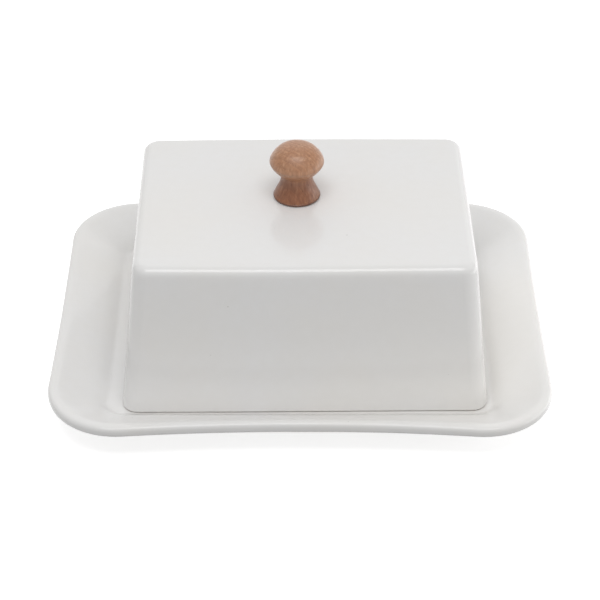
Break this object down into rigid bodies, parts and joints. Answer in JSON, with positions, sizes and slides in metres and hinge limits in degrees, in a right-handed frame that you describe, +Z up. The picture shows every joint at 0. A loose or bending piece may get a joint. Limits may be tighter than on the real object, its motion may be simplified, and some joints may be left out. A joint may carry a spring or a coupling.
{
  "type": "butter dish",
  "caption": "Rectangular ceramic butter dish: broad-rimmed tray with waisted sides, deep lift-off box lid and a turned wooden knob.",
  "frame": {"origin": "middle of the tray's foot, on the surface that it stands on", "axes": "+Z up, +X along the tray's long side, +Y across it towards the back"},
  "size_m": [0.2, 0.1644, 0.0933],
  "materials": {
    "glaze": "glossy white glaze",
    "wood": "oiled brown hardwood",
    "brass": "turned",
    "steel": "satin stainless",
    "silicone": "matte translucent"
  },
  "bodies": {
    "tray": {"tray": "glaze"},
    "lid": {"lid": "glaze", "knob": "wood", "knob_insert": "brass", "knob_screw": "steel", "steel_washer": "steel", "seal_washer": "silicone"}
  },
  "joints": [
    {"name": "lid_lift", "type": "slide", "parent": "tray", "child": "lid", "axis": [0, 0, 1], "range_m": [0, 0.11]}
  ]
}
